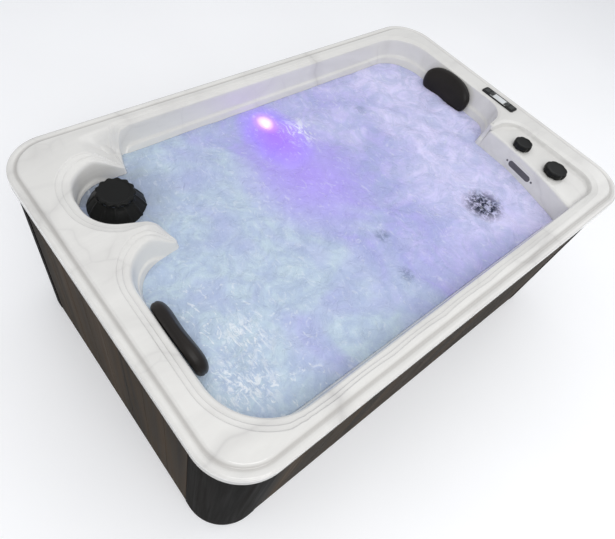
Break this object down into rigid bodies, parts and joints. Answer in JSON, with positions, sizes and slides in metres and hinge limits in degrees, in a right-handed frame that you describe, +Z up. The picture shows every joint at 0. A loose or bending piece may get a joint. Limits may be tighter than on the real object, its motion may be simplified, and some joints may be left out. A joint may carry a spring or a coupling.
{
  "type": "hot tub",
  "caption": "Rectangular lounger hot tub: moulded shell with filter well, control shelf, jets, pillows and keypad in a panelled cabinet with pump and pipes.",
  "frame": {"origin": "centre of the footprint, on the ground", "axes": "+X along the long side away from the filter well, +Y towards the side with the lamp, +Z up"},
  "size_m": [2.1, 1.372, 0.7779],
  "materials": {
    "acrylic": "polished white acrylic with soft grey marbling",
    "board": "dark brown synthetic board with a fine wood grain",
    "frame_steel": "satin galvanised box section",
    "pan_plastic": "moulded black base sheet",
    "black_plastic": "satin black fittings",
    "window": "pale display window",
    "grey_plastic": "dark grey fittings",
    "pillow_skin": "soft dark foam with a smooth skin",
    "pipe_plastic": "white plastic pipe",
    "steel": "stainless steel",
    "motor_paint": "dark grey enamel",
    "filter_paper": "pleated white filter fabric",
    "lens": "clear lens over a violet lamp"
  },
  "bodies": {
    "tub": {"base_pan": "pan_plastic", "frame_front": "frame_steel", "frame_back": "frame_steel", "frame_left": "frame_steel", "frame_right": "frame_steel", "front_panel": "board", "back_panel": "board", "left_panel": "board", "corner_front_left": "board", "corner_front_right": "board", "corner_back_right": "board", "corner_back_left": "board", "diverter_valve": "black_plastic", "air_valve": "black_plastic", "keypad_body": "black_plastic", "keypad_window": "window", "waterfall_plate": "acrylic", "waterfall_spout": "grey_plastic", "filter_canister": "pan_plastic", "led_housing": "steel", "led_lens": "lens", "foot_jet_housing": "black_plastic", "jet_line_front": "pipe_plastic", "jet_line_back": "pipe_plastic", "suction_cover_front": "black_plastic", "suction_cover_back": "black_plastic", "suction_line": "pipe_plastic", "pump_motor": "motor_paint", "pump_wet_end": "black_plastic", "heater_tube": "steel", "header_line": "pipe_plastic", "control_box": "grey_plastic", "drain_valve": "pipe_plastic", "shell": "acrylic"},
    "diverter": {"diverter_knob": "black_plastic"},
    "air_control": {"air_knob": "black_plastic"},
    "button_1": {"keypad_button_1": "grey_plastic"},
    "button_2": {"keypad_button_2": "grey_plastic"},
    "button_3": {"keypad_button_3": "grey_plastic"},
    "button_4": {"keypad_button_4": "grey_plastic"},
    "filter": {"filter_cartridge": "filter_paper", "filter_skirt": "black_plastic"},
    "filter_top": {"filter_cap": "black_plastic"},
    "left_headrest": {"left_pillow": "pillow_skin"},
    "right_headrest": {"right_pillow": "pillow_skin"},
    "jet_1": {"jet_face_1": "black_plastic"},
    "jet_2": {"jet_face_2": "black_plastic"},
    "jet_3": {"jet_face_3": "black_plastic"},
    "jet_4": {"jet_face_4": "black_plastic"},
    "jet_5": {"jet_face_5": "black_plastic"},
    "jet_6": {"jet_face_6": "black_plastic"},
    "jet_7": {"jet_face_7": "black_plastic"},
    "jet_8": {"jet_face_8": "black_plastic"},
    "jet_9": {"jet_face_9": "black_plastic"},
    "jet_10": {"jet_face_10": "black_plastic"},
    "jet_11": {"jet_face_11": "black_plastic"},
    "jet_12": {"jet_face_12": "black_plastic"},
    "foot_jet": {"foot_jet_face": "black_plastic"},
    "access": {"access_panel": "board"},
    "drain_plug": {"drain_cap": "black_plastic"}
  },
  "joints": [
    {"name": "diverter_turn", "type": "hinge", "parent": "tub", "child": "diverter", "pos_m": [0.81985, -0.43595, 0.7506], "axis": [0, 0, 1], "range_deg": [-90, 90]},
    {"name": "air_turn", "type": "hinge", "parent": "tub", "child": "air_control", "pos_m": [0.82384, -0.25591, 0.7506], "axis": [0, 0, 1], "range_deg": [0, 90]},
    {"name": "button_1_press", "type": "slide", "parent": "tub", "child": "button_1", "axis": [0, 0, -1], "range_m": [0, 0.0015], "stiffness_N_per_m": 300, "springref_m": -0.0008},
    {"name": "button_2_press", "type": "slide", "parent": "tub", "child": "button_2", "axis": [0, 0, -1], "range_m": [0, 0.0015], "stiffness_N_per_m": 300, "springref_m": -0.0008},
    {"name": "button_3_press", "type": "slide", "parent": "tub", "child": "button_3", "axis": [0, 0, -1], "range_m": [0, 0.0015], "stiffness_N_per_m": 300, "springref_m": -0.0008},
    {"name": "button_4_press", "type": "slide", "parent": "tub", "child": "button_4", "axis": [0, 0, -1], "range_m": [0, 0.0015], "stiffness_N_per_m": 300, "springref_m": -0.0008},
    {"name": "filter_lift", "type": "slide", "parent": "tub", "child": "filter", "axis": [0, 0, 1], "range_m": [0, 0.3]},
    {"name": "filter_cap_turn", "type": "hinge", "parent": "filter", "child": "filter_top", "pos_m": [-0.77623, 0.36593, 0.712], "axis": [0, 0, 1], "range_deg": [0, 90]},
    {"name": "left_pillow_pull", "type": "slide", "parent": "tub", "child": "left_headrest", "axis": [0.9761, 0, 0.2172], "range_m": [0, 0.06]},
    {"name": "right_pillow_pull", "type": "slide", "parent": "tub", "child": "right_headrest", "axis": [-0.9761, 0, 0.2172], "range_m": [0, 0.06]},
    {"name": "jet_1_turn", "type": "hinge", "parent": "tub", "child": "jet_1", "pos_m": [-0.70034, -0.56116, 0.60224], "axis": [0.0042, 0.9521, 0.3057], "range_deg": [0, 90]},
    {"name": "jet_2_turn", "type": "hinge", "parent": "tub", "child": "jet_2", "pos_m": [-0.34545, -0.5621, 0.60222], "axis": [0.0001, 0.9574, 0.2886], "range_deg": [0, 90]},
    {"name": "jet_3_turn", "type": "hinge", "parent": "tub", "child": "jet_3", "pos_m": [-0.7344, -0.20581, 0.52101], "axis": [0.5416, -0.0095, 0.8406], "range_deg": [0, 90]},
    {"name": "jet_4_turn", "type": "hinge", "parent": "tub", "child": "jet_4", "pos_m": [-0.73439, -0.41155, 0.52313], "axis": [0.5574, 0.0429, 0.8291], "range_deg": [0, 90]},
    {"name": "jet_5_turn", "type": "hinge", "parent": "tub", "child": "jet_5", "pos_m": [0.1599, -0.17152, 0.35951], "axis": [0.2722, -0.018, 0.9621], "range_deg": [0, 90]},
    {"name": "jet_6_turn", "type": "hinge", "parent": "tub", "child": "jet_6", "pos_m": [0.15973, -0.37052, 0.34896], "axis": [0.1226, -0.0731, 0.9898], "range_deg": [0, 90]},
    {"name": "jet_7_turn", "type": "hinge", "parent": "tub", "child": "jet_7", "pos_m": [-0.21, 0.54354, 0.51707], "axis": [-0.0042, -0.9806, 0.196], "range_deg": [0, 90]},
    {"name": "jet_8_turn", "type": "hinge", "parent": "tub", "child": "jet_8", "pos_m": [0.30975, 0.54151, 0.51708], "axis": [-0.0036, -0.9777, 0.2098], "range_deg": [0, 90]},
    {"name": "jet_9_turn", "type": "hinge", "parent": "tub", "child": "jet_9", "pos_m": [-0.11038, 0.18519, 0.36616], "axis": [-0.1165, -0.027, 0.9928], "range_deg": [0, 90]},
    {"name": "jet_10_turn", "type": "hinge", "parent": "tub", "child": "jet_10", "pos_m": [-0.39939, 0.20583, 0.2657], "axis": [-0.3566, 0.0251, 0.9339], "range_deg": [0, 90]},
    {"name": "jet_11_turn", "type": "hinge", "parent": "tub", "child": "jet_11", "pos_m": [0.71336, 0.2058, 0.50329], "axis": [-0.5841, -0.0042, 0.8117], "range_deg": [0, 90]},
    {"name": "jet_12_turn", "type": "hinge", "parent": "tub", "child": "jet_12", "pos_m": [0.71335, 0.41158, 0.50551], "axis": [-0.5883, -0.0189, 0.8084], "range_deg": [0, 90]},
    {"name": "foot_jet_turn", "type": "hinge", "parent": "tub", "child": "foot_jet", "pos_m": [0.69386, -0.31541, 0.46017], "axis": [-0.9783, 0.1361, 0.1564], "range_deg": [0, 90]},
    {"name": "access_panel_pull", "type": "slide", "parent": "tub", "child": "access", "axis": [1, 0, 0], "range_m": [0, 0.15]},
    {"name": "drain_cap_turn", "type": "hinge", "parent": "tub", "child": "drain_plug", "pos_m": [1.0003, -0.12034, 0.09], "axis": [1, 0, 0], "range_deg": [0, 360]}
  ]
}
